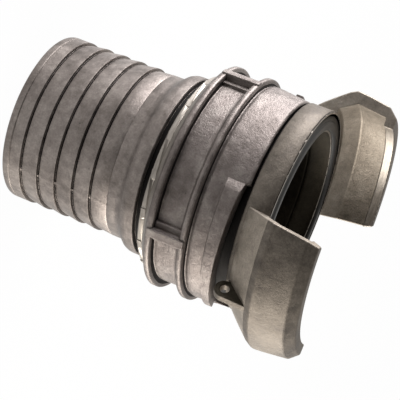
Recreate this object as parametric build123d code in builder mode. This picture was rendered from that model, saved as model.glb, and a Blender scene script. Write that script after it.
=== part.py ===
"""Quarter turn fire hose coupling: one half of a symmetrical pair, on a ribbed hose tail.

A cast head with two claws turns on the hose tail, and a locking ring with two cams turns on the head.
Millimetres. +Z runs along the axis, from the hose end of the tail (Z = 0) up to the claws.
The two claws stand at +X and -X, and the chain lug is on the back of the +X claw.
"""
import os
from math import cos, radians, sin

from build123d import *

# ---- fits and clearances
RUN_CLEAR = 0.05        # radial running fit of the swivel and of the locking ring
END_GAP = 0.3           # axial play at the front end of the swivel, and behind the ring
SEAT_CLEAR = 0.05       # wire and O-ring in the tail's own grooves
WIRE_CLEAR = 0.3        # wire in the head's groove, which turns past it

# ---- hose tail
BORE_R = 46.0           # waterway
NOSE_R = 49.6           # outside radius at the hose end, before its edge rounds up
NOSE_LEN = 1.4          # length of the rounded edge
CREST_R = 51.1          # crest of each rib
ROOT_R = 49.7           # foot of each rib
RIB_PITCH = 11.4        # from one step to the next
RIB_COUNT = 5           # ribs that end in a sharp step
FIRST_STEP_Z = 12.0     # first step that faces the coupling
STEP_RUN = 0.5          # axial length of a step's face
NOSE_GROOVE_Z = 4.8     # fine groove round the entry
FINE_GROOVE = 0.35      # depth and half width of the fine grooves
PLAIN_R = 50.6          # plain part of the tail, past the last rib
FAINT_GROOVE_LEN = 11.4 # from the last step to the faint groove
COLLAR_Z = 77.0         # back of the collar
COLLAR_LEN = 11.7
COLLAR_R = 55.5
COLLAR_ROUND = 4.5      # rounded back edge of the collar
BARREL_R = 52.0         # turned barrel that carries the head
BARREL_LEN = 64.3
BARREL_CHAMFER = 1.0
MOUTH_CHAMFER = 1.0     # both mouths of the waterway

# ---- swivel race and seal, hidden between tail and head
WIRE_R = 1.75
WIRE_FROM_COLLAR = 9.0  # centre of the wire, from the collar's front
ORING_R = 1.6
ORING_FROM_TOP = 12.0   # centre of the O-ring, from the barrel's front end
ORING_SIDE = 0.6        # side room of the O-ring in its groove

# ---- head
NECK_LEN = 4.9          # bare neck of the tail, between its collar and the sleeve
SLEEVE_R = 58.7         # cylinder under the locking ring
THREAD_END_R = 59.6     # crests of the coarse thread, where it shows behind the ring
THREAD_END_LEN = 3.7
SLEEVE_BACK_CHAMFER = 0.8
BAND_R = 63.6           # cylindrical band behind the face
BAND_LEN = 15.0
SHOULDER_LEN = 4.7      # wall between the swivel's end and the seal's floor
BAND_BACK_CHAMFER = 0.6
SEAL_DEPTH = 8.0        # depth of the seal's groove below the face
SEAL_IN_R = 52.1
SEAL_OUT_R = 62.0
INNER_RIM_T = 1.2       # thin wall between waterway and seal
INNER_RIM_BELOW = 1.3   # inner rim's edge, below the face
THROAT_FLARE = 6.0      # axial length of the throat's flare

# ---- face seal
SEAL_BELOW = 0.6        # outer flat of the seal, below the face
SEAL_LIP_PROUD = 0.6    # seal's lip, above the face
SEAL_LIP_W = 4.6
SEAL_LIP_TAPER = 0.8

# ---- claws
CLAW_HALF_DEG = 41.0    # half of each claw's angle
CLAW_REACH = 33.0       # from the face to the claw's front
CLAW_BACK_CLEAR = 2.0   # claw's foot, in front of the band's back edge
CLAW_RIDGE_R = 80.0     # outside, at the ridge
CLAW_RIDGE_Z = 6.5      # outside ridge, in front of the face
CLAW_SHOULDER_RISE = 0.39  # share of the way from band to ridge, where the back steepens
CLAW_SHOULDER_BACK = 4.5
CLAW_FLANK_RISE = 0.817  # the same share, where it eases off again
CLAW_FLANK_Z = 3.5
CLAW_FRONT_IN = 2.6     # in from the ridge, outside of the lip
CLAW_NOSE_IN = 8.4      # in from the ridge, front edge after the lip's outer slope
CLAW_LIP_IN = 14.0      # in from the ridge, inside of the lip
CLAW_LIP_LEN = 6.5
CLAW_WALL = 5.4         # in from the ridge, hollow's deepest point
CLAW_HOLLOW_RIDGE_Z = 8.0
CLAW_HOLLOW_IN = 10.0   # in from the ridge, hollow just behind the lip

# ---- chain lug
LUG_T = 4.6
LUG_HOLE_R = 2.7
LUG_HOLE_FROM_AXIS = 71.0
LUG_HOLE_BACK = 12.0    # hole's centre, behind the face
LUG_END_R = 5.9

# ---- locking ring
RING_LEN = 51.9
RING_BACK_R = 61.2      # narrow back edge
RING_BACK_SLOPE = 1.8
RING_PANEL_R = 63.3
RIB_RING_R = 68.3       # both ribs
RIB_W = 3.8             # width of a rib's flat crest
RIB_SLOPE = 1.3         # axial run of a rib's sides
BACK_RIB_Z = 6.5        # centre of the back rib, from the ring's back
FRONT_RIB_Z = 26.5      # centre of the front rib
FLANK_R = 65.6          # barrel just in front of the front rib
FLANK_LEN = 5.0
FRONT_BARREL_R = 64.9
FRONT_EDGE_R = 63.5
EDGE_CHAMFER = 0.7
BAR_R = 69.3            # crest of the spanner bars
BAR_W = 6.0
BAR_HEEL_W = 3.0        # low step at one side of each bar
BAR_HEEL_R = 65.2
BAR_PAIR_DEG = (-14.0, -110.0)
CAM_START_DEG = -52.7
CAM_SPAN_DEG = 94.7
CAM_R = 67.0
CAM_BACK = 12.5         # back edge of the cams, behind the ring's front edge
CAM_TALL = 2.5          # front of a cam at its start, behind the ring's front edge
CAM_SHORT = 8.5         # front of a cam at its end
CAM_LEAD_DEG = 5.0      # sloped entry at a cam's start
CAM_LEAD_R = 64.8

# ---- positions that follow from the sizes above
last_step_z = FIRST_STEP_Z + (RIB_COUNT - 1) * RIB_PITCH
collar_front = COLLAR_Z + COLLAR_LEN
barrel_top = collar_front + BARREL_LEN
head_bore_r = BARREL_R + RUN_CLEAR
sleeve_back = collar_front + NECK_LEN
shoulder_z = barrel_top + END_GAP
seal_floor = shoulder_z + SHOULDER_LEN
face_z = seal_floor + SEAL_DEPTH
band_back = face_z - BAND_LEN
throat_r = SEAL_IN_R - INNER_RIM_T
inner_rim_z = face_z - INNER_RIM_BELOW
claw_front = face_z + CLAW_REACH
lip_back = claw_front - CLAW_LIP_LEN
lip_r = CLAW_RIDGE_R - CLAW_LIP_IN
claw_rise = CLAW_RIDGE_R - BAND_R
shoulder_r = BAND_R + CLAW_SHOULDER_RISE * claw_rise
flank_r = BAND_R + CLAW_FLANK_RISE * claw_rise
wire_z = collar_front + WIRE_FROM_COLLAR
wire_ring_r = BARREL_R + RUN_CLEAR / 2
oring_z = barrel_top - ORING_FROM_TOP
oring_centre_r = BARREL_R - RUN_CLEAR - ORING_R
oring_floor_r = oring_centre_r - ORING_R - SEAT_CLEAR
ring_back = sleeve_back + THREAD_END_LEN + END_GAP
ring_front = ring_back + RING_LEN
ring_bore_r = SLEEVE_R + RUN_CLEAR
cut_r = CLAW_RIDGE_R + BAND_R   # larger than anything that a sector has to reach


def sector(start_deg, span_deg, r_in, r_out):
    """Ring sector from start_deg over span_deg, in the current sketch; it must stay under 180 degrees."""
    reach = 1.5 * r_out
    corners = [(reach * cos(radians(start_deg + span_deg * k / 3)),
                reach * sin(radians(start_deg + span_deg * k / 3))) for k in range(4)]
    Polygon((0, 0), *corners, align=None)
    Circle(r_out, mode=Mode.INTERSECT)
    Circle(r_in, mode=Mode.SUBTRACT)


# ---- hose tail: ribs, collar and barrel in one turned casting
outline = [(BORE_R + MOUTH_CHAMFER, 0), (NOSE_R, 0),
           (NOSE_R + 0.7 * (CREST_R - NOSE_R), 0.35 * NOSE_LEN), (CREST_R, NOSE_LEN),
           (CREST_R, FIRST_STEP_Z)]
for k in range(RIB_COUNT):
    foot = FIRST_STEP_Z + k * RIB_PITCH + STEP_RUN
    if k < RIB_COUNT - 1:
        outline += [(ROOT_R, foot), (CREST_R, foot + RIB_PITCH - STEP_RUN)]
    else:
        outline += [(ROOT_R, foot), (PLAIN_R, foot + RIB_PITCH - STEP_RUN)]
outline += [(PLAIN_R, COLLAR_Z), (COLLAR_R - 0.3 * COLLAR_ROUND, COLLAR_Z + 0.4 * COLLAR_ROUND),
            (COLLAR_R, COLLAR_Z + COLLAR_ROUND), (COLLAR_R, collar_front), (BARREL_R, collar_front),
            (BARREL_R, barrel_top - BARREL_CHAMFER), (BARREL_R - BARREL_CHAMFER, barrel_top),
            (BORE_R + MOUTH_CHAMFER, barrel_top), (BORE_R, barrel_top - MOUTH_CHAMFER), (BORE_R, MOUTH_CHAMFER)]

with BuildPart() as hose_tail:
    with BuildSketch(Plane.XZ) as tail_section:
        with BuildLine():
            Polyline(*outline, close=True)
        make_face()
        with Locations((CREST_R, NOSE_GROOVE_Z),
                       (PLAIN_R, last_step_z + FAINT_GROOVE_LEN + STEP_RUN)):
            Rectangle(2 * FINE_GROOVE, 2 * FINE_GROOVE, rotation=45, mode=Mode.SUBTRACT)
        with Locations((wire_ring_r, wire_z)):
            Circle(WIRE_R + SEAT_CLEAR, mode=Mode.SUBTRACT)
        with Locations((oring_floor_r, oring_z)):
            Rectangle(BARREL_R, 2 * (ORING_R + ORING_SIDE), align=(Align.MIN, Align.CENTER), mode=Mode.SUBTRACT)
    revolve(axis=Axis.Z)

# ---- wire that holds the head on the tail, in a race between them
with BuildPart() as swivel_wire:
    with BuildSketch(Plane.XZ):
        with Locations((wire_ring_r, wire_z)):
            Circle(WIRE_R)
    revolve(axis=Axis.Z)

# ---- O-ring of the swivel
with BuildPart() as swivel_o_ring:
    with BuildSketch(Plane.XZ):
        with Locations((oring_centre_r, oring_z)):
            Circle(ORING_R)
    revolve(axis=Axis.Z)

# ---- head: sleeve, band and seal groove, with two hooded claws and a chain lug
head_section = [
    (head_bore_r, sleeve_back), (THREAD_END_R - SLEEVE_BACK_CHAMFER, sleeve_back),
    (THREAD_END_R, sleeve_back + SLEEVE_BACK_CHAMFER), (THREAD_END_R, sleeve_back + THREAD_END_LEN),
    (SLEEVE_R, sleeve_back + THREAD_END_LEN), (SLEEVE_R, band_back),
    (BAND_R - BAND_BACK_CHAMFER, band_back), (BAND_R, band_back + BAND_BACK_CHAMFER), (BAND_R, face_z),
    (SEAL_OUT_R, face_z), (SEAL_OUT_R, seal_floor), (SEAL_IN_R, seal_floor), (SEAL_IN_R, inner_rim_z),
    (throat_r, inner_rim_z), (throat_r, seal_floor + THROAT_FLARE / 2),
    (BORE_R, seal_floor - THROAT_FLARE / 2), (BORE_R, shoulder_z), (head_bore_r, shoulder_z)]
claw_section = [
    (SEAL_OUT_R, band_back + CLAW_BACK_CLEAR), (BAND_R, band_back + CLAW_BACK_CLEAR),
    (shoulder_r, face_z - CLAW_SHOULDER_BACK), (flank_r, face_z + CLAW_FLANK_Z),
    (CLAW_RIDGE_R, face_z + CLAW_RIDGE_Z), (CLAW_RIDGE_R - CLAW_FRONT_IN, lip_back),
    (CLAW_RIDGE_R - CLAW_NOSE_IN, claw_front), (lip_r, claw_front), (lip_r, lip_back),
    (CLAW_RIDGE_R - CLAW_HOLLOW_IN, lip_back), (CLAW_RIDGE_R - CLAW_WALL, face_z + CLAW_HOLLOW_RIDGE_Z),
    (SEAL_OUT_R, face_z)]
lug_centre = (LUG_HOLE_FROM_AXIS, face_z - LUG_HOLE_BACK)

with BuildPart() as claw_head:
    with BuildSketch(Plane.XZ):
        with BuildLine():
            Polyline(*head_section, close=True)
        make_face()
        with Locations((wire_ring_r, wire_z)):
            Circle(WIRE_R + WIRE_CLEAR, mode=Mode.SUBTRACT)
    revolve(axis=Axis.Z)
    for side_deg in (0, 180):
        with BuildSketch(Plane.XZ.rotated((0, 0, side_deg - CLAW_HALF_DEG))):
            with BuildLine():
                Polyline(*claw_section, close=True)
            make_face()
        revolve(axis=Axis.Z, revolution_arc=2 * CLAW_HALF_DEG)
    with BuildSketch(Plane.XZ):
        with Locations(lug_centre):
            Circle(LUG_END_R)
        Polygon((BAND_R, band_back + CLAW_BACK_CLEAR),
                (LUG_HOLE_FROM_AXIS, lug_centre[1] - LUG_END_R),
                (LUG_HOLE_FROM_AXIS + LUG_END_R, lug_centre[1]),
                (flank_r, face_z + CLAW_FLANK_Z), (shoulder_r, face_z - CLAW_SHOULDER_BACK / 2),
                (SEAL_OUT_R, face_z - CLAW_SHOULDER_BACK / 2), align=None)
    extrude(amount=LUG_T / 2, both=True)
    with BuildSketch(Plane.XZ):
        with Locations(lug_centre):
            Circle(LUG_HOLE_R)
    extrude(amount=LUG_T, both=True, mode=Mode.SUBTRACT)

# ---- face seal: flat ring with a raised lip, in the head's groove
lip_out_r = SEAL_IN_R + SEAL_LIP_W
with BuildPart() as face_seal:
    with BuildSketch(Plane.XZ):
        with BuildLine():
            Polyline((SEAL_IN_R, seal_floor), (SEAL_OUT_R, seal_floor), (SEAL_OUT_R, face_z - SEAL_BELOW),
                     (lip_out_r + SEAL_LIP_TAPER, face_z - SEAL_BELOW), (lip_out_r, face_z + SEAL_LIP_PROUD),
                     (SEAL_IN_R + SEAL_LIP_TAPER, face_z + SEAL_LIP_PROUD), (SEAL_IN_R, inner_rim_z),
                     close=True)
        make_face()
    revolve(axis=Axis.Z)

# ---- locking ring: two ribs with spanner bars between them, and two cams at the front
ring_section = [(ring_bore_r, ring_back), (RING_BACK_R, ring_back), (RING_PANEL_R, ring_back + RING_BACK_SLOPE)]
for rib_z, front_r in ((BACK_RIB_Z, RING_PANEL_R), (FRONT_RIB_Z, FLANK_R)):
    mid = ring_back + rib_z
    ring_section += [(RING_PANEL_R, mid - RIB_W / 2 - RIB_SLOPE), (RIB_RING_R, mid - RIB_W / 2),
                     (RIB_RING_R, mid + RIB_W / 2), (front_r, mid + RIB_W / 2 + RIB_SLOPE / 2)]
ring_section += [(FRONT_BARREL_R, ring_back + FRONT_RIB_Z + RIB_W / 2 + FLANK_LEN),
                 (FRONT_EDGE_R, ring_front - EDGE_CHAMFER), (FRONT_EDGE_R - EDGE_CHAMFER, ring_front),
                 (ring_bore_r + EDGE_CHAMFER, ring_front), (ring_bore_r, ring_front - EDGE_CHAMFER)]
cam_mid_deg = CAM_START_DEG + CAM_SPAN_DEG / 2
cam_mid_z = ring_front - (CAM_TALL + CAM_SHORT) / 2
cam_tilt = (CAM_SHORT - CAM_TALL) / (2 * CAM_R * sin(radians(CAM_SPAN_DEG / 2)))
bars_low_z = ring_back + BACK_RIB_Z
bars_high_z = ring_back + FRONT_RIB_Z

with BuildPart() as locking_ring:
    with BuildSketch(Plane.XZ):
        with BuildLine():
            Polyline(*ring_section, close=True)
        make_face()
    revolve(axis=Axis.Z)
    for turn_deg in (0, 180):
        with BuildSketch(Plane.XY.offset(ring_front - CAM_BACK)):
            sector(CAM_START_DEG + CAM_LEAD_DEG + turn_deg, CAM_SPAN_DEG - CAM_LEAD_DEG, ring_bore_r, CAM_R)
        extrude(amount=CAM_BACK - CAM_TALL)
        with BuildSketch(Plane.XY.offset(ring_front - CAM_BACK)):
            sector(CAM_START_DEG + turn_deg, CAM_LEAD_DEG, ring_bore_r, CAM_LEAD_R)
        extrude(amount=CAM_BACK - CAM_TALL)
        m = radians(cam_mid_deg + turn_deg)
        ramp = Plane(origin=(0, 0, cam_mid_z), x_dir=(cos(m), sin(m), 0),
                     z_dir=(-cam_tilt * sin(m), cam_tilt * cos(m), 1))
        with BuildSketch(ramp):
            sector(-CAM_SPAN_DEG / 2, CAM_SPAN_DEG, ring_bore_r / 2, cut_r)
        extrude(amount=CAM_BACK, mode=Mode.SUBTRACT)
        for bar_deg in BAR_PAIR_DEG:
            bar_plane = Plane.XZ.rotated((0, 0, bar_deg + turn_deg))
            for half_w, top_r in ((BAR_W / 2, BAR_R), (BAR_W / 2 + BAR_HEEL_W, BAR_HEEL_R)):
                with BuildSketch(bar_plane):
                    with Locations((ring_bore_r, bars_low_z)):
                        Rectangle(top_r - ring_bore_r, bars_high_z - bars_low_z, align=(Align.MIN, Align.MIN))
                extrude(amount=half_w, both=True)
    with BuildSketch(Plane.XY.offset(ring_back)):
        Circle(ring_bore_r)
    extrude(amount=RING_LEN, mode=Mode.SUBTRACT)

os.makedirs("parts", exist_ok=True)
for name, built in (("hose_tail", hose_tail), ("swivel_wire", swivel_wire), ("swivel_o_ring", swivel_o_ring),
                    ("claw_head", claw_head), ("face_seal", face_seal), ("locking_ring", locking_ring)):
    built.part.label = name
    export_step(built.part, f"parts/{name}.step")
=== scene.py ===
# %% [markdown]
# # A quarter turn fire hose coupling
# One half of a symmetrical claw coupling, cast in stainless steel. A ribbed tail goes into the hose,
# a head with two hooded claws turns on it, and a ring with spanner bars and two cams locks the pair.
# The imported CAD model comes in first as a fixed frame, so every new piece is made where the CAD has it.

# %% Load the frame
from math import atan2, cos, degrees, hypot, pi, radians, sin

import bmesh
import bpy
from mathutils import Matrix, Vector, noise


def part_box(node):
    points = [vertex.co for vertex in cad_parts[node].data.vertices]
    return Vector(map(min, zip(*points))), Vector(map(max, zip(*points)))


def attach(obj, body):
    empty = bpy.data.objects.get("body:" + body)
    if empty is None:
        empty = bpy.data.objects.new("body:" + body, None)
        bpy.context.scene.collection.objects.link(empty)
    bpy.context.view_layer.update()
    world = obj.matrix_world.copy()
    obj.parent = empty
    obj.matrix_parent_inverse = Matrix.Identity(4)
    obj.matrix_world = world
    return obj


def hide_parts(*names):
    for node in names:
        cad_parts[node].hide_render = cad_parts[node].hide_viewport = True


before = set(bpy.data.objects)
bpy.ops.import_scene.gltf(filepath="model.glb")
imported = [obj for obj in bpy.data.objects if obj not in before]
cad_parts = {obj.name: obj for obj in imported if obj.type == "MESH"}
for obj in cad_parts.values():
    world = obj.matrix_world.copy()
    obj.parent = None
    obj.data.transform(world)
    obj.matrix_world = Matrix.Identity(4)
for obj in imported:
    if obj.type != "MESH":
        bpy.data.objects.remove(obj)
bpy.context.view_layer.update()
MM = 0.001
print("nodes:", sorted(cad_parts))

# %% [markdown]
# ## Reading the frame
# The frame is in metres, and a fitting is easier to think about in millimetres. These few heights are
# read from the CAD nodes, and the face and the band are set back from the claws' front, so that the new
# pieces sit at the solids' heights.

# %% Heights from the CAD model
tail_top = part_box("hose_tail")[1].z / MM
ring_back, ring_front = (corner.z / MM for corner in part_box("locking_ring"))
sleeve_back, claw_front = (corner.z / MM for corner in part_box("claw_head"))
seal_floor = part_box("face_seal")[0].z / MM
CLAW_LEN, BAND_LEN = 33.0, 15.0
FACE_Z = claw_front - CLAW_LEN
BAND_BACK = FACE_Z - BAND_LEN
print(f"ring {ring_back:.1f} to {ring_front:.1f}, face {FACE_Z:.1f}, claws to {claw_front:.1f}")

# %% [markdown]
# ## Colours and node trees
# Every colour is written as an sRGB hex value, as a paint chart gives it, and one function turns it to
# the linear values that the shaders need. A second one adds a node, sets it up and links it.

# %% Helpers for materials
def srgb(hex_code):
    channels = [int(hex_code[i:i + 2], 16) / 255 for i in (1, 3, 5)]
    return tuple(c / 12.92 if c <= 0.04045 else ((c + 0.055) / 1.055) ** 2.4 for c in channels) + (1.0,)


def node(tree, kind, links=None, **settings):
    """Adds a node; settings name its properties or sockets, links name sockets and what feeds them."""
    made = tree.nodes.new(kind)
    for key, value in settings.items():
        if hasattr(made, key):
            setattr(made, key, value)
        else:
            made.inputs[key.replace("_", " ")].default_value = value
    for key, source in (links or {}).items():
        tree.links.new(source, made.inputs[key])
    return made


def new_material(name):
    material = bpy.data.materials.new(name)
    material.use_nodes = True
    tree = material.node_tree
    tree.nodes.clear()
    return material, tree


def ramp(tree, source, stops):
    made = node(tree, "ShaderNodeValToRGB", {"Fac": source})
    made.color_ramp.elements[0].position, made.color_ramp.elements[0].color = stops[0]
    made.color_ramp.elements[1].position, made.color_ramp.elements[1].color = stops[-1]
    for position, colour in stops[1:-1]:
        made.color_ramp.elements.new(position).color = colour
    return made

# %% [markdown]
# ## Investment cast stainless steel
# The tail, the head and the ring are cast in a ceramic shell and blasted with grit. That leaves a soft
# satin grey, slightly warm, with cloudy patches a few centimetres wide where the shell differed, an
# uneven skin with blotches of about 6 mm, and here and there a dark speck. Real grit marks are about
# 0.1 mm, too fine to show from this distance, so the grain is drawn at about 1 mm. One function makes
# every cast finish, because they differ in colour, grain and gloss alone. Metals keep the default IOR,
# and a thin dull oxide is why the metallic value is a little under 1.

# %% Cast steel
CLOUD_MM, BLOTCH_MM, SPECK_MM = 28, 6, 11
OXIDISED_METAL = 0.85


def cast_steel(name, dark, mid, light, grain_mm, roughness, grain_depth, wave_depth):
    material, tree = new_material(name)
    where = node(tree, "ShaderNodeTexCoord").outputs["Object"]
    clouds = node(tree, "ShaderNodeTexNoise", {"Vector": where}, Scale=1 / (CLOUD_MM * MM), Detail=4.0,
                  Roughness=0.6)
    grain = node(tree, "ShaderNodeTexNoise", {"Vector": where}, Scale=1 / (grain_mm * MM), Detail=3.0,
                 Roughness=0.65)
    blotch = node(tree, "ShaderNodeTexNoise", {"Vector": where}, Scale=1 / (BLOTCH_MM * MM), Detail=5.0,
                  Roughness=0.7)
    mixed = node(tree, "ShaderNodeMath", {0: clouds.outputs["Fac"], 1: blotch.outputs["Fac"]},
                 operation="ADD")
    tone = node(tree, "ShaderNodeMapRange", {"Value": mixed.outputs[0]}, From_Min=0.7, From_Max=1.3)
    colour = ramp(tree, tone.outputs[0], [(0.0, srgb(dark)), (0.5, srgb(mid)), (1.0, srgb(light))])
    cells = node(tree, "ShaderNodeTexVoronoi", {"Vector": where}, Scale=1 / (SPECK_MM * MM), Randomness=1.0)
    specks = node(tree, "ShaderNodeMapRange", {"Value": cells.outputs["Distance"]}, From_Min=0.02,
                  From_Max=0.055, To_Min=0.55, To_Max=1.0)
    grain_tint = node(tree, "ShaderNodeMapRange", {"Value": grain.outputs["Fac"]}, From_Min=0.3,
                      From_Max=0.7, To_Min=0.82, To_Max=1.12)
    shade = node(tree, "ShaderNodeMath", {0: grain_tint.outputs[0], 1: specks.outputs[0]},
                 operation="MULTIPLY")
    tinted = node(tree, "ShaderNodeVectorMath", {0: colour.outputs["Color"], "Scale": shade.outputs[0]},
                  operation="SCALE")
    rough = node(tree, "ShaderNodeMapRange", {"Value": blotch.outputs["Fac"]}, From_Min=0.3, From_Max=0.7,
                 To_Min=roughness - 0.07, To_Max=roughness + 0.07)
    waves = node(tree, "ShaderNodeBump", {"Height": blotch.outputs["Fac"]}, Strength=0.8,
                 Distance=wave_depth * MM)
    bump = node(tree, "ShaderNodeBump", {"Height": grain.outputs["Fac"], "Normal": waves.outputs[0]},
                Strength=0.8, Distance=grain_depth * MM)
    shader = node(tree, "ShaderNodeBsdfPrincipled", {
        "Base Color": tinted.outputs[0], "Roughness": rough.outputs[0], "Normal": bump.outputs[0]},
        Metallic=OXIDISED_METAL)
    node(tree, "ShaderNodeOutputMaterial", {"Surface": shader.outputs[0]})
    return material

# %% [markdown]
# ## Six cast steels, with painted light and shade among them
# Head, ring and tail came from three castings, each with a tone of its own. Fettled steel has been
# dressed with a grinder and is the palest, and it is also painted light on the claws' sloping backs. A
# dark brown steel is painted shade in the bore, the throat and on the chain lug's sides, and a nearly
# black, quite matt one is painted shade in the corners in front of the tail's steps and the ring's ribs.

# %% Cast finishes
head_steel = cast_steel("cast_stainless_head", "#4b4540", "#665f57", "#7d756c", 1.0, 0.6, 0.14, 0.5)
# The pale fettled steel is also painted light on the claws' sloping backs.
fettled_and_lit_steel = cast_steel("fettled_stainless_claw_and_painted_light", "#787066", "#938a7f", "#a9a196", 1.0, 0.55, 0.14, 0.4)
ring_steel = cast_steel("cast_stainless_ring", "#57504c", "#726a66", "#8d8681", 0.9, 0.5, 0.2, 0.6)
tail_steel = cast_steel("cast_stainless_tail", "#5f5853", "#7b736e", "#958d87", 1.1, 0.48, 0.12, 0.3)
# Painted shade: dark brown steel for the bore, the throat and the chain lug's sides.
painted_shade_steel = cast_steel("cast_stainless_painted_shade", "#2c2822", "#3d382f", "#4b453b", 1.1, 0.6, 0.1, 0.3)
# Painted shade: nearly black, matt steel for the corners in front of the tail's steps and the ring's ribs.
corner_shade_steel = cast_steel("cast_stainless_painted_corner_shade", "#141110", "#1f1b19", "#2b2623", 1.0, 0.75, 0.10, 0.15)
print("cast steels:", head_steel.name, fettled_and_lit_steel.name, ring_steel.name, tail_steel.name,
      painted_shade_steel.name, corner_shade_steel.name)

# %% [markdown]
# ## Machined stainless steel
# The thread, the claws' lips and the rims beside the seal are cut on a lathe and stay brighter than the
# cast skin. A noise that is stretched across the axis draws the tool marks: the real feed is about
# 0.15 mm a turn, drawn here at about 1 mm so that it can be seen. A nearly black copy of the same steel
# is painted shade in the gaps where ring, sleeve and barrel run on each other.

# %% Turned steel
FILM_MM = 14


def turned_steel(name, dark, light, feed_mm, roughness, depth):
    material, tree = new_material(name)
    where = node(tree, "ShaderNodeTexCoord").outputs["Object"]
    stretch = node(tree, "ShaderNodeMapping", {"Vector": where}, Scale=(0.1, 0.1, 1.0))
    lines = node(tree, "ShaderNodeTexNoise", {"Vector": stretch.outputs[0]}, Scale=1 / (feed_mm * MM),
                 Detail=2.0)
    clouds = node(tree, "ShaderNodeTexNoise", {"Vector": where}, Scale=1 / (FILM_MM * MM), Detail=5.0,
                  Roughness=0.65)
    mixed = node(tree, "ShaderNodeMath", {0: lines.outputs["Fac"], 1: clouds.outputs["Fac"]},
                 operation="ADD")
    tone = node(tree, "ShaderNodeMapRange", {"Value": mixed.outputs[0]}, From_Min=0.75, From_Max=1.25)
    colour = ramp(tree, tone.outputs[0], [(0.0, srgb(dark)), (1.0, srgb(light))])
    rough = node(tree, "ShaderNodeMapRange", {"Value": clouds.outputs["Fac"]}, From_Min=0.3, From_Max=0.7,
                 To_Min=roughness - 0.06, To_Max=roughness + 0.06)
    bump = node(tree, "ShaderNodeBump", {"Height": lines.outputs["Fac"]}, Strength=0.7,
                Distance=depth * MM)
    shader = node(tree, "ShaderNodeBsdfPrincipled", {
        "Base Color": colour.outputs["Color"], "Roughness": rough.outputs[0], "Normal": bump.outputs[0]},
        Metallic=OXIDISED_METAL)
    node(tree, "ShaderNodeOutputMaterial", {"Surface": shader.outputs[0]})
    return material


bright_steel = turned_steel("machined_stainless", "#807a73", "#a09991", 0.9, 0.42, 0.03)
# Painted shade: a nearly black copy of the turned steel for the gaps between ring, sleeve and barrel.
gap_shade_steel = turned_steel("machined_stainless_painted_gap_shade", "#0c0b0a", "#191614", 1.2, 0.65, 0.03)
print("turned steels:", bright_steel.name, gap_shade_steel.name)

# %% [markdown]
# ## Nitrile rubber
# The face seal is black nitrile, moulded and matt. Rubber is a dielectric, so it isn't metallic, its IOR
# is about 1.5, and a high roughness gives the dull sheen. A faint noise keeps it from looking like ink.

# %% Rubber
rubber, tree = new_material("black_nitrile")
where = node(tree, "ShaderNodeTexCoord").outputs["Object"]
dust = node(tree, "ShaderNodeTexNoise", {"Vector": where}, Scale=1 / (5 * MM), Detail=4.0)
colour = ramp(tree, dust.outputs["Fac"], [(0.35, srgb("#141312")), (0.7, srgb("#24221f"))])
bump = node(tree, "ShaderNodeBump", {"Height": dust.outputs["Fac"]}, Strength=0.3, Distance=0.05 * MM)
shader = node(tree, "ShaderNodeBsdfPrincipled", {"Base Color": colour.outputs["Color"],
                                                 "Normal": bump.outputs[0]}, Roughness=0.55, IOR=1.5)
node(tree, "ShaderNodeOutputMaterial", {"Surface": shader.outputs[0]})
print("rubber:", rubber.name)

# %% [markdown]
# ## Shapes by spinning
# A lathe makes a round part from its section, and bmesh's spin does the same. The section is drawn once
# as a closed loop of points, radius and height, in the plane through the axis, and spun a full turn.

# %% Spin a section into a solid
def polar(r, angle_deg, z):
    return Vector((r * cos(radians(angle_deg)), r * sin(radians(angle_deg)), z)) * MM


def spun(points, steps, start_deg=0.0, turn_deg=360.0):
    """A bmesh of the closed section points, (r, z) in mm, spun about the axis. A part turn is capped."""
    bm = bmesh.new()
    corners = [bm.verts.new(polar(r, start_deg, z)) for r, z in points]
    loop = [bm.edges.new((a, b)) for a, b in zip(corners, corners[1:] + corners[:1])]
    full = turn_deg >= 360.0
    result = bmesh.ops.spin(bm, geom=corners + loop, cent=(0, 0, 0), axis=(0, 0, 1), dvec=(0, 0, 0),
                            angle=radians(turn_deg), steps=steps, use_merge=full, use_duplicate=False)
    if not full:
        last = [g for g in result["geom_last"] if isinstance(g, bmesh.types.BMEdge)]
        bmesh.ops.contextual_create(bm, geom=loop)
        bmesh.ops.contextual_create(bm, geom=last)
    bmesh.ops.remove_doubles(bm, verts=bm.verts, dist=1e-6)
    bmesh.ops.recalc_face_normals(bm, faces=bm.faces)
    return bm

# %% [markdown]
# ## From a mesh to a finished piece
# Every piece ends in the same way: the mesh becomes an object at the origin, gets its material, and
# rides on the body that carries it. A second function paints a band of faces with another finish, and
# a third rounds the edges, because no cast or turned edge stays knife sharp.

# %% Finish a piece
def finish_piece(bm, name, body, material, replaces=(), flat=False):
    mesh = bpy.data.meshes.new(name)
    bm.to_mesh(mesh)
    bm.free()
    piece = bpy.data.objects.new(name, mesh)
    bpy.context.scene.collection.objects.link(piece)
    mesh.materials.append(material)
    if not flat:
        mesh.shade_smooth()
    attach(piece, body)
    if replaces:
        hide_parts(*replaces)
    print(name, len(mesh.polygons), "faces")
    return piece


def zone(piece, material, test):
    """Gives the faces whose centre, as radius and height in mm, passes the test a finish of their own."""
    piece.data.materials.append(material)
    index = len(piece.data.materials) - 1
    for face in piece.data.polygons:
        if test(face.center.xy.length / MM, face.center.z / MM):
            face.material_index = index


def soften(piece, width_mm, segments=2, angle_deg=28):
    """A narrow bevel on every sharp edge, and normals that keep the flats flat."""
    bevel = piece.modifiers.new("worn edges", "BEVEL")
    bevel.width, bevel.segments, bevel.limit_method = width_mm * MM, segments, "ANGLE"
    bevel.angle_limit, bevel.harden_normals = radians(angle_deg), True
    return piece

# %% [markdown]
# ## The hose tail
# Five ribs hold the hose: each rises slowly from its foot and ends in a sharp step that faces the
# coupling, so the hose slides on and bites when it is pulled. The entry is rounded, with a fine groove.
# Past the ribs come a plain length, a rounded collar and the barrel that carries the head, and the whole
# piece is one spin. The casting's parting line leaves a small nib where it crosses each step, so a few
# points near that line are pushed out by up to a millimetre.

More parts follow.
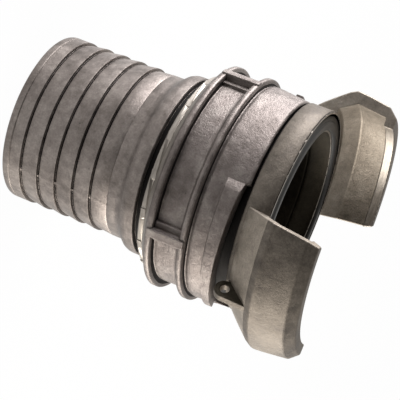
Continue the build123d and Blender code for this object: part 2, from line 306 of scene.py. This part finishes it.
# %% Hose tail
CREST_R, FOOT_R, PLAIN_R, BORE_R, COLLAR_R, BARREL_R = 51.1, 49.7, 50.6, 46.0, 55.5, 52.0
FIRST_STEP, STEP_PITCH, STEP_COUNT = 12.0, 11.4, 5
STEPS_Z = [FIRST_STEP + STEP_PITCH * k for k in range(STEP_COUNT)]
LINE_Z = STEPS_Z[-1] + 11.5
COLLAR_Z, COLLAR_FRONT = 77.0, 88.7
PARTING_DEG, NIB_OUT, NIB_WIDE, NIB_LONG = -5.5, 1.1, 1.5, 1.6

section = [(BORE_R, 1.0), (BORE_R + 1.0, 0.0), (49.4, 0.0), (50.3, 0.3), (50.8, 0.8), (CREST_R, 1.6),
           (CREST_R, 4.4), (CREST_R - 0.35, 4.8), (CREST_R, 5.2)]
for step in STEPS_Z:
    section += [(CREST_R, step - 1.2), (CREST_R, step - 0.05), (FOOT_R - 0.4, step + 0.1),
                (FOOT_R - 0.6, step + 0.5), (FOOT_R - 0.4, step + 0.9), (FOOT_R, step + 1.1)]
section += [(PLAIN_R, LINE_Z - 0.6), (PLAIN_R - 0.3, LINE_Z), (PLAIN_R, LINE_Z + 0.6),
            (PLAIN_R, COLLAR_Z - 3.0), (PLAIN_R + 0.3, COLLAR_Z - 1.0), (PLAIN_R + 1.2, COLLAR_Z + 0.5),
            (COLLAR_R - 2.5, COLLAR_Z + 1.7), (COLLAR_R - 1.0, COLLAR_Z + 3.4),
            (COLLAR_R - 0.2, COLLAR_Z + 5.4), (COLLAR_R, COLLAR_Z + 7.0), (COLLAR_R, COLLAR_FRONT - 0.5),
            (COLLAR_R - 0.5, COLLAR_FRONT), (BARREL_R, COLLAR_FRONT), (BARREL_R, tail_top - 1.0),
            (BARREL_R - 1.0, tail_top),
            (BORE_R + 1.0, tail_top), (BORE_R, tail_top - 1.0)]
bm = spun(section, 360)
for v in bm.verts:
    r, angle, z = hypot(v.co.x, v.co.y) / MM, degrees(atan2(v.co.y, v.co.x)), v.co.z / MM
    if r < 49.0 or z > COLLAR_Z:
        continue
    off_line = abs(angle - PARTING_DEG) * r * radians(1.0)
    near_step = min(abs(z - step - 0.4) for step in STEPS_Z)
    lift = NIB_OUT * max(0.0, 1 - off_line / NIB_WIDE) * max(0.0, 1 - near_step / NIB_LONG) * (r < 50.4)
    lift += 0.10 * noise.noise(v.co * 45)
    v.co.x *= (r + lift) / r
    v.co.y *= (r + lift) / r
tail = finish_piece(bm, "tail_casting", "tail", tail_steel, replaces=["hose_tail"])
# Painted shade: nearly black in the groove after each step and on the neck under the head, dark inside the
# bore.
zone(tail, corner_shade_steel, lambda r, z: 47.5 < r < FOOT_R - 0.1 and any(step < z < step + 1.0 for step in STEPS_Z))
zone(tail, gap_shade_steel, lambda r, z: r < BARREL_R + 0.6 and z > COLLAR_FRONT - 0.2)
zone(tail, painted_shade_steel, lambda r, z: r < BORE_R + 0.5)
soften(tail, 0.12, 1, 35)

# %% [markdown]
# ## The head's turned core
# Sleeve, seal seat and throat are cut on a lathe in one setting, so one spun section makes them all. It
# stays just inside the cast skin. Its rims show as bright lines on both sides of the seal and the collar
# behind the ring is bright too. The throat is dark steel as painted shade, and the rest, with the sleeve
# under the ring, is nearly black steel as painted shade in the gap.

# %% Head core
SEAL_IN_R, SEAL_OUT_R, THROAT_R, SLEEVE_R, BAND_R = 52.1, 62.0, 50.9, 58.7, 63.6
SWIVEL_R, THREAD_ROOT_R = BARREL_R + 0.05, 59.1
section = [(SWIVEL_R, sleeve_back), (THREAD_ROOT_R - 0.6, sleeve_back),
           (THREAD_ROOT_R, sleeve_back + 0.6), (THREAD_ROOT_R, sleeve_back + 3.3),
           (SLEEVE_R - 0.1, sleeve_back + 3.7), (SLEEVE_R, BAND_BACK + 0.3),
           (BAND_R - 0.4, BAND_BACK + 0.3), (BAND_R - 0.4, FACE_Z - 0.3), (BAND_R - 0.7, FACE_Z),
           (SEAL_OUT_R, FACE_Z), (SEAL_OUT_R, seal_floor),
           (SEAL_IN_R, seal_floor), (SEAL_IN_R, FACE_Z - 1.5), (SEAL_IN_R - 0.2, FACE_Z - 1.3),
           (THROAT_R + 0.2, FACE_Z - 1.3), (THROAT_R, FACE_Z - 1.5), (THROAT_R, seal_floor + 3.0),
           (BORE_R, seal_floor - 3.0), (BORE_R, tail_top + 0.3), (SWIVEL_R, tail_top + 0.3)]
# Painted shade: the core is nearly black, so the sleeve between ring and band reads as a dark gap; the
# throat is dark steel, also painted shade.
core = finish_piece(spun(section, 240), "head_core", "head", gap_shade_steel, replaces=["claw_head"])
zone(core, painted_shade_steel, lambda r, z: r < THROAT_R + 0.1)
zone(core, bright_steel, lambda r, z: r > 57.0 and z < sleeve_back + 5.0)
zone(core, bright_steel, lambda r, z: z > FACE_Z - 1.6 and r < SEAL_IN_R + 0.1)
zone(core, bright_steel, lambda r, z: z > FACE_Z - 0.5 and r > SEAL_OUT_R)
soften(core, 0.15, 1, 40)

# %% [markdown]
# ## The coarse thread
# The ring travels on a coarse thread with many starts, which shows as a bright broken band behind the
# ring. Each ridge is a small section spun with a rise, as a screw is made, and copied round sixteen
# times. Where a ridge runs in under the ring it is trimmed to the sleeve's radius, so the ring turns free.

# %% Thread ends
THREAD_STARTS, THREAD_RISE, THREAD_R, RIDGE_FOOT_R = 16, 3.0, 59.6, 57.6
RIDGE_DEG, RIDGE_STEPS, FIRST_START_DEG = 38, 24, -65.2
START_APART_DEG = 360 / THREAD_STARTS
ridge_back = sleeve_back + 0.1
bm = bmesh.new()
for start in range(THREAD_STARTS):
    begin = FIRST_START_DEG + start * START_APART_DEG
    ridge = [bm.verts.new(polar(r, begin, ridge_back + h)) for r, h in
             ((RIDGE_FOOT_R, 0.0), (THREAD_R - 0.3, 0.0), (THREAD_R, 0.3), (THREAD_R, 3.0),
              (RIDGE_FOOT_R, 3.4))]
    loop = [bm.edges.new((a, b)) for a, b in zip(ridge, ridge[1:] + ridge[:1])]
    cap = bmesh.ops.contextual_create(bm, geom=loop)["faces"]
    bmesh.ops.spin(bm, geom=ridge + loop + cap, cent=(0, 0, 0), axis=(0, 0, 1), angle=radians(RIDGE_DEG),
                   steps=RIDGE_STEPS, use_duplicate=False,
                   dvec=(0, 0, THREAD_RISE * RIDGE_DEG / START_APART_DEG / RIDGE_STEPS * MM))
for v in bm.verts:
    r, z = hypot(v.co.x, v.co.y) / MM, v.co.z / MM
    trimmed = min(r, SLEEVE_R - 0.1) if z > ring_back - 0.2 else r
    v.co.x *= trimmed / r
    v.co.y *= trimmed / r
bmesh.ops.recalc_face_normals(bm, faces=bm.faces)
finish_piece(bm, "thread_ends", "head", bright_steel, flat=True)

# %% [markdown]
# ## The cast band and the two claws
# The band is a plain cast ring at the claws' feet. A claw is a hood: from the band it slopes out to a
# ridge, runs forward and turns in to a lip, and the inside follows at about 5 mm, so the other half's
# cam can hook behind the lip. Spinning its section through 82 degrees makes the hood and keeps its
# facets, and closing both ends makes it solid. The ends of a real claw lean in, so its points are then
# moved round the axis, outwards at the foot and inwards at the lip. The hollow is fettled, the sloping
# back gets the same pale steel as painted light, and the lip's inner face is turned.

# %% Band and claws
HALF_DEG, LIP_R, LIP_LEN = 41.0, 66.0, 6.5
BAND_FOOT_R, CLAW_FOOT_R = 60.5, 61.0
LIP_BACK, LIP_FRONT = claw_front - LIP_LEN, claw_front - 0.8
band = spun([(BAND_FOOT_R, BAND_BACK + 0.5), (BAND_R - 0.6, BAND_BACK + 0.2), (BAND_R, BAND_BACK + 0.9),
             (BAND_R, FACE_Z - 1.0), (BAND_R - 0.35, FACE_Z - 0.6), (BAND_FOOT_R, FACE_Z - 0.6)], 240)
finish_piece(band, "cast_band", "head", head_steel)

claw_section = [(CLAW_FOOT_R, BAND_BACK + 2.1), (BAND_R + 0.1, BAND_BACK + 2.1), (66.6, FACE_Z - 10.0),
                (70.4, FACE_Z - 5.8), (77.5, FACE_Z + 2.6), (79.5, FACE_Z + 6.3), (79.0, FACE_Z + 13.0),
                (77.3, LIP_BACK), (72.4, LIP_FRONT), (LIP_R, LIP_FRONT), (LIP_R, LIP_BACK),
                (70.6, LIP_BACK), (72.2, FACE_Z + 9.0), (65.9, FACE_Z - 0.2), (62.3, FACE_Z - 0.2),
                (CLAW_FOOT_R, FACE_Z - 3.0)]

# Height of a point, and half the claw's width there in degrees: a wide foot and a narrower lip.
HALF_AT = [(FACE_Z - 12, 43.6), (FACE_Z + 6, 42.0), (FACE_Z + 26, 40.2), (FACE_Z + 33, 38.2)]


def half_angle(z):
    for (z0, a0), (z1, a1) in zip(HALF_AT, HALF_AT[1:]):
        if z <= z1:
            return a0 + (a1 - a0) * max(0.0, z - z0) / (z1 - z0)
    return HALF_AT[-1][1]


def in_hollow(r, z):
    return FACE_Z - 0.2 < z < LIP_BACK + 0.1 and r < min(73.5, 67.5 + (z - FACE_Z) * 0.7)


# The claw's sloping back, where the pale steel is painted light.
def painted_light_back(r, z):
    return BAND_BACK + 2.2 < z < FACE_Z + 2.6 and r > 62.0 + max(0.0, z - FACE_Z + 8)


for name, middle in (("claw_near", 0.0), ("claw_far", 180.0)):
    bm = spun(claw_section, 80, middle - HALF_DEG, 2 * HALF_DEG)
    for v in bm.verts:
        r, angle, z = hypot(v.co.x, v.co.y) / MM, degrees(atan2(v.co.y, v.co.x)), v.co.z / MM
        off = (angle - middle + 180) % 360 - 180
        r += (0.22 * noise.noise(v.co * 30) - 0.12) * (62.5 < r < 79.0)
        v.co = polar(r, middle + off * half_angle(z) / HALF_DEG, z)
    claw = finish_piece(bm, name, "head", head_steel)
    zone(claw, fettled_and_lit_steel, in_hollow)
    # Painted light: the sloping back takes the pale steel.
    zone(claw, fettled_and_lit_steel, painted_light_back)
    zone(claw, bright_steel, lambda r, z: r < LIP_R + 0.3 and z > LIP_BACK)
    soften(claw, 0.8, 3, 12)

# %% [markdown]
# ## The chain lug
# A thin fin behind the near claw has a hole for the ring of a cap chain. Its outline is drawn flat, with
# a round end that runs on along the claw's back, and the outline and the hole's rim are filled together.
# Extruding that flat face gives the fin its thickness and the hole its wall. Its flat sides are painted
# shade.

# %% Chain lug
LUG_THICK, HOLE_R, END_R, HOLE_SIDES = 4.6, 2.7, 5.9, 24
hole_x, hole_z = 71.0, FACE_Z - 12.0
bm = bmesh.new()
rim = [(hole_x + END_R * cos(radians(8 - 11 * k)), hole_z + END_R * sin(radians(8 - 11 * k)))
       for k in range(18)]
outline = rim + [(63.4, BAND_BACK + 2.0), (63.4, FACE_Z - 5.0), (70.0, FACE_Z - 2.5), (77.4, FACE_Z + 4.2)]
outer = [bm.verts.new(Vector((x, -LUG_THICK / 2, z)) * MM) for x, z in outline]
hole = [bm.verts.new(Vector((hole_x + HOLE_R * cos(2 * pi * k / HOLE_SIDES), -LUG_THICK / 2,
                             hole_z + HOLE_R * sin(2 * pi * k / HOLE_SIDES))) * MM)
        for k in range(HOLE_SIDES)]
edges = [bm.edges.new((a, b)) for ring in (outer, hole) for a, b in zip(ring, ring[1:] + ring[:1])]
bmesh.ops.triangle_fill(bm, edges=edges, use_beauty=True)
grown = bmesh.ops.extrude_face_region(bm, geom=list(bm.faces))
bmesh.ops.translate(bm, verts=[g for g in grown["geom"] if isinstance(g, bmesh.types.BMVert)],
                    vec=(0, LUG_THICK * MM, 0))
bmesh.ops.recalc_face_normals(bm, faces=bm.faces)
# Painted shade: the lug's flat sides are dark steel, its edges the head's steel.
lug = finish_piece(bm, "chain_lug", "head", painted_shade_steel)
lug.data.materials.append(head_steel)
for face in lug.data.polygons:
    face.material_index = int(abs(face.normal.y) < 0.5)
soften(lug, 0.7, 3, 40)

# %% [markdown]
# ## The face seal
# A flat nitrile ring with a raised inner lip lies in the groove, and the two halves' lips press together.

# %% Face seal
section = [(SEAL_IN_R, seal_floor), (SEAL_OUT_R, seal_floor), (SEAL_OUT_R, FACE_Z - 0.6),
           (58.4, FACE_Z - 0.6),
           (57.6, FACE_Z - 0.2), (57.0, FACE_Z + 0.45), (56.2, FACE_Z + 0.6), (53.6, FACE_Z + 0.6),
           (52.7, FACE_Z + 0.3), (SEAL_IN_R, FACE_Z - 0.8)]
finish_piece(spun(section, 240), "seal_ring", "head", rubber, replaces=["face_seal"])

# %% [markdown]
# ## The locking ring
# The ring's body is a spin: two ribs with panels between them and a plain barrel in front. Where a cam
# sits, its front edge is cut back along a slope, so the points near the front are moved along the axis
# by an amount that grows with the angle. A faint noise gives the skin of a casting, nearly black painted
# shade fills the corner in front of each rib, the bore and the inner front edge are painted shade too,
# and the narrow back edge is turned bright.

# %% Locking ring
RIB_R, PANEL_R, RUN_CLEAR = 68.28, 63.3, 0.05
RING_BORE_R = SLEEVE_R + RUN_CLEAR
back_rib, front_rib, cam_back = ring_back + 6.5, ring_back + 26.5, ring_front - 12.5
outside = [(RING_BORE_R + 0.6, ring_back), (60.9, ring_back), (61.5, ring_back + 0.5),
           (PANEL_R, ring_back + 1.6),
           (PANEL_R + 0.6, back_rib - 3.9), (66.6, back_rib - 2.7), (RIB_R - 0.4, back_rib - 1.9),
           (RIB_R, back_rib - 1.2), (RIB_R, back_rib + 1.2), (RIB_R - 0.4, back_rib + 1.7),
           (66.0, back_rib + 1.9),
           (PANEL_R - 0.1, back_rib + 2.2), (PANEL_R - 0.1, back_rib + 2.8), (PANEL_R, back_rib + 3.4),
           (PANEL_R, front_rib - 4.0), (PANEL_R + 0.6, front_rib - 3.0), (66.6, front_rib - 2.2),
           (RIB_R - 0.4, front_rib - 1.7), (RIB_R, front_rib - 1.1), (RIB_R, front_rib + 1.2),
           (RIB_R - 0.5, front_rib + 1.7), (66.0, front_rib + 1.9), (64.3, front_rib + 2.2),
           (64.2, front_rib + 2.9), (64.9, front_rib + 3.7), (65.0, front_rib + 6.0),
           (64.9, front_rib + 8.0),
           (64.6, cam_back - 0.8), (64.6, cam_back), (64.5, cam_back + 0.6), (63.6, ring_front - 1.0),
           (62.9, ring_front - 0.2), (62.4, ring_front)]
inside = [(RING_BORE_R + 0.6, ring_front), (RING_BORE_R, ring_front - 0.6), (RING_BORE_R, ring_back + 0.6)]
CAM_START, CAM_SPAN, CAM_TALL, CAM_SHORT = -52.7, 94.7, 2.5, 8.5


def resampled(points, spacing):
    """The same outline with points no further apart than about the spacing, so that noise can show."""
    dense = []
    for (r0, z0), (r1, z1) in zip(points, points[1:]):
        count = max(1, round(hypot(r1 - r0, z1 - z0) / spacing))
        dense += [(r0 + (r1 - r0) * k / count, z0 + (z1 - z0) * k / count) for k in range(count)]
    return dense + [points[-1]]


def cam_front(past):
    """Height of the cam's front edge, so many degrees past its start."""
    return ring_front - CAM_TALL - (CAM_SHORT - CAM_TALL) * past / CAM_SPAN


bm = spun(resampled(outside, 1.1) + inside, 480)
for v in bm.verts:
    r, angle, z = hypot(v.co.x, v.co.y) / MM, degrees(atan2(v.co.y, v.co.x)), v.co.z / MM
    if RING_BORE_R + 1.0 < r < RIB_R - 0.2:
        r += 0.22 * noise.noise(v.co * 55) + 0.10 * noise.noise(v.co * 170) - 0.10
    past = (angle - CAM_START) % 180.0
    if z > cam_back and past < CAM_SPAN:
        z = cam_back + (z - cam_back) * (cam_front(past) - cam_back) / (ring_front - cam_back)
    v.co = polar(r, angle, z)
ring = finish_piece(bm, "ring_casting", "ring", ring_steel, replaces=["locking_ring"])
# Painted shade: a nearly black band in the corner in front of each rib.
for rib in (back_rib, front_rib):
    zone(ring, corner_shade_steel, lambda r, z: rib + 1.85 < z < rib + 2.5 and r < 66.0)
zone(ring, bright_steel, lambda r, z: z < ring_back + 2.6)
# Painted shade: the bore and the inner front edge are nearly black.
zone(ring, gap_shade_steel, lambda r, z: r < RING_BORE_R + 1.0 or z > ring_front - 0.1 and r < 62.4)

# %% [markdown]
# ## Cams
# Two wedges on the barrel's front edge pull the other half's claws in as the ring turns. Each is a part
# spin of a block section, and its front follows the ring's slope. Its start rises from the barrel over
# a few degrees, and its other end is a flat face, a little before the slope of the ring ends.

# %% Cams
CAM_R, CAM_ROOT_R, CAM_INNER_R, CAM_EDGE = 67.0, 64.7, 61.5, 0.7
CAM_RISE_DEG, CAM_END_CUT = 4.5, 8.0
cam_section = [(CAM_INNER_R, cam_back), (65.0, cam_back), (CAM_R - CAM_EDGE, cam_back),
               (CAM_R, cam_back + CAM_EDGE), (CAM_R, ring_front - CAM_EDGE),
               (CAM_R - CAM_EDGE, ring_front), (CAM_INNER_R, ring_front)]
for name, start in (("cam_near", CAM_START), ("cam_far", CAM_START + 180.0)):
    bm = spun(cam_section, 110, start, CAM_SPAN - CAM_END_CUT)
    for v in bm.verts:
        angle, z = degrees(atan2(v.co.y, v.co.x)), v.co.z / MM
        past = min(CAM_SPAN, max(0.0, (angle - start + 90) % 360 - 90))
        z = cam_back + (z - cam_back) * (cam_front(past) - cam_back) / (ring_front - cam_back)
        r = min(v.co.xy.length / MM, CAM_ROOT_R + (CAM_R - CAM_ROOT_R) * past / CAM_RISE_DEG)
        v.co = polar(r, angle, z)
    soften(finish_piece(bm, name, "ring", ring_steel), 0.5, 3, 40)

# %% [markdown]
# ## Spanner bars
# Four bars bridge the ribs, and a hook spanner catches on one of them. A cast bar has a low heel on both
# sides, so each is made from two cubes: a tall one for the bar and a wide flat one for its heel.

# %% Spanner bars
BARS_DEG = [-14.0, -110.0, 166.0, 70.0]
BAR_R, BAR_WIDTH, HEEL_WIDTH, HEEL_RISE = 69.25, 5.2, 12.4, 1.7


def block(bm, angle_deg, low_r, high_r, width, z0, z1):
    made = bmesh.ops.create_cube(bm, size=1.0)["verts"]
    place = (Matrix.Rotation(radians(angle_deg), 4, "Z")
             @ Matrix.Translation(Vector(((low_r + high_r) / 2, 0, (z0 + z1) / 2)) * MM)
             @ Matrix.Diagonal(Vector((high_r - low_r, width, z1 - z0)) * MM).to_4x4())
    bmesh.ops.transform(bm, matrix=place, verts=made)


for number, angle in enumerate(BARS_DEG):
    bm = bmesh.new()
    block(bm, angle, PANEL_R - 3, BAR_R, BAR_WIDTH, back_rib - 1.4, front_rib + 1.4)
    block(bm, angle, PANEL_R - 3, PANEL_R + HEEL_RISE, HEEL_WIDTH, back_rib - 1.0, front_rib + 1.0)
    soften(finish_piece(bm, f"spanner_bar_{number + 1}", "ring", ring_steel), 0.6, 3, 40)

# %% [markdown]
# ## The hidden pieces
# The wire and the O-ring of the swivel stay as the CAD made them, and only get their real finishes.

# %% Swivel pieces
for name, material in (("swivel_wire", bright_steel), ("swivel_o_ring", rubber)):
    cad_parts[name].data.materials.clear()
    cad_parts[name].data.materials.append(material)
    print(name, "is", material.name)

# %% [markdown]
# ## A white floor
# The coupling stands on its hose end on white paper. To the camera, and in the metal and through glass,
# the paper shines white by itself, so that the lamps needn't be bright enough to make it so. It keeps a
# few hundredths of its matt white there, which is where the soft shadow shows.

# %% Floor
FLOOR_HALF, SELF_LIT = 6.0, 0.97
bm = bmesh.new()
bmesh.ops.create_grid(bm, x_segments=1, y_segments=1, size=FLOOR_HALF)
mesh = bpy.data.meshes.new("floor")
bm.to_mesh(mesh)
bm.free()
floor = bpy.data.objects.new("floor", mesh)
bpy.context.scene.collection.objects.link(floor)
paper, tree = new_material("white_paper")
path = node(tree, "ShaderNodeLightPath")
matt = node(tree, "ShaderNodeBsdfDiffuse", Color=srgb("#f4f4f4"))
white = node(tree, "ShaderNodeEmission", Color=(1, 1, 1, 1), Strength=1.0)
seen = node(tree, "ShaderNodeMath", {0: path.outputs["Is Camera Ray"], 1: path.outputs["Is Glossy Ray"]},
            operation="MAXIMUM")
seen = node(tree, "ShaderNodeMath", {0: seen.outputs[0], 1: path.outputs["Is Transmission Ray"]},
            operation="MAXIMUM")
amount = node(tree, "ShaderNodeMath", {0: seen.outputs[0]}, operation="MULTIPLY")
amount.inputs[1].default_value = SELF_LIT
mix = node(tree, "ShaderNodeMixShader", {0: amount.outputs[0], 1: matt.outputs[0], 2: white.outputs[0]})
node(tree, "ShaderNodeOutputMaterial", {"Surface": mix.outputs[0]})
mesh.materials.append(paper)
print("floor:", 2 * FLOOR_HALF, "m wide")

# %% [markdown]
# ## The camera
# It looks from the side and a little above through a long lens, so the circles stay nearly true, and it
# is rolled over so that the axis runs across the view.

# %% Camera
CAMERA_DEG, CAMERA_UP_DEG, CAMERA_ROLL_DEG = -48.5, 15.68, 111.87
CAMERA_DISTANCE, LENS_MM = 0.83, 125.8


def basis(azimuth_deg, elevation_deg, roll_deg):
    """Right, up and back vectors of a camera that stands in that direction from what it looks at."""
    a, e, roll = (radians(d) for d in (azimuth_deg, elevation_deg, roll_deg))
    back = Vector((cos(a) * cos(e), sin(a) * cos(e), sin(e)))
    right = Vector((-sin(a), cos(a), 0))
    up = back.cross(right)
    return (right * cos(roll) + up * sin(roll), up * cos(roll) - right * sin(roll), back)


camera = bpy.data.objects.new("camera", bpy.data.cameras.new("camera"))
bpy.context.scene.collection.objects.link(camera)
right, up, back = basis(CAMERA_DEG, CAMERA_UP_DEG, CAMERA_ROLL_DEG)
aim = Vector((0.2, 18.1, 105.1)) * MM
turn = Matrix((right, up, back)).transposed().to_4x4()
camera.matrix_world = Matrix.Translation(aim + back * CAMERA_DISTANCE) @ turn
camera.data.lens = LENS_MM
camera.data.sensor_width = 36.0
camera.data.clip_start = 0.05
bpy.context.scene.camera = camera
print(f"camera: {CAMERA_DISTANCE} m away, {LENS_MM} mm lens")

# %% [markdown]
# ## Lamps and a dim room
# Two long, low soft boxes stand left and right of the camera and give the bright bands along the metal.
# The room is bright behind the coupling and dim on the camera's side, so the strip that faces the camera
# reflects little, and that contrast is what makes round steel read.

# %% Lamps and world
def soft_box(name, azimuth_deg, elevation_deg, distance, width, height, power, tint):
    light = bpy.data.lights.new(name, "AREA")
    light.shape, light.size, light.size_y = "RECTANGLE", width, height
    light.energy, light.color = power, srgb(tint)[:3]
    placed = bpy.data.objects.new(name, light)
    bpy.context.scene.collection.objects.link(placed)
    a, e = radians(azimuth_deg), radians(elevation_deg)
    towards = Vector((cos(a) * cos(e), sin(a) * cos(e), sin(e)))
    turn = towards.to_track_quat("Z", "Y").to_matrix().to_4x4()
    placed.matrix_world = Matrix.Translation(Vector((0, 0, 100 * MM)) + towards * distance) @ turn
    print(name, power, "W")


soft_box("soft_box_left", CAMERA_DEG - 92, 3, 1.1, 1.2, 0.36, 27, "#fdfcff")
soft_box("soft_box_right", CAMERA_DEG + 102, 3, 1.1, 1.1, 0.36, 17, "#fffaf2")

world = bpy.data.worlds.new("dim_room")
bpy.context.scene.world = world
world.use_nodes = True
tree = world.node_tree
tree.nodes.clear()
towards = node(tree, "ShaderNodeTexCoord").outputs["Generated"]
facing = node(tree, "ShaderNodeVectorMath", {0: towards}, operation="DOT_PRODUCT")
facing.inputs[1].default_value = (cos(radians(CAMERA_DEG)), sin(radians(CAMERA_DEG)), 0.0)
dim = node(tree, "ShaderNodeMapRange", {"Value": facing.outputs["Value"]}, From_Min=-0.4, From_Max=0.75,
           To_Min=1.0, To_Max=0.06)
background = node(tree, "ShaderNodeBackground", {"Strength": dim.outputs[0]}, Color=srgb("#fbf9f6"))
node(tree, "ShaderNodeOutputWorld", {"Surface": background.outputs[0]})
bpy.context.scene.view_settings.view_transform = "Standard"
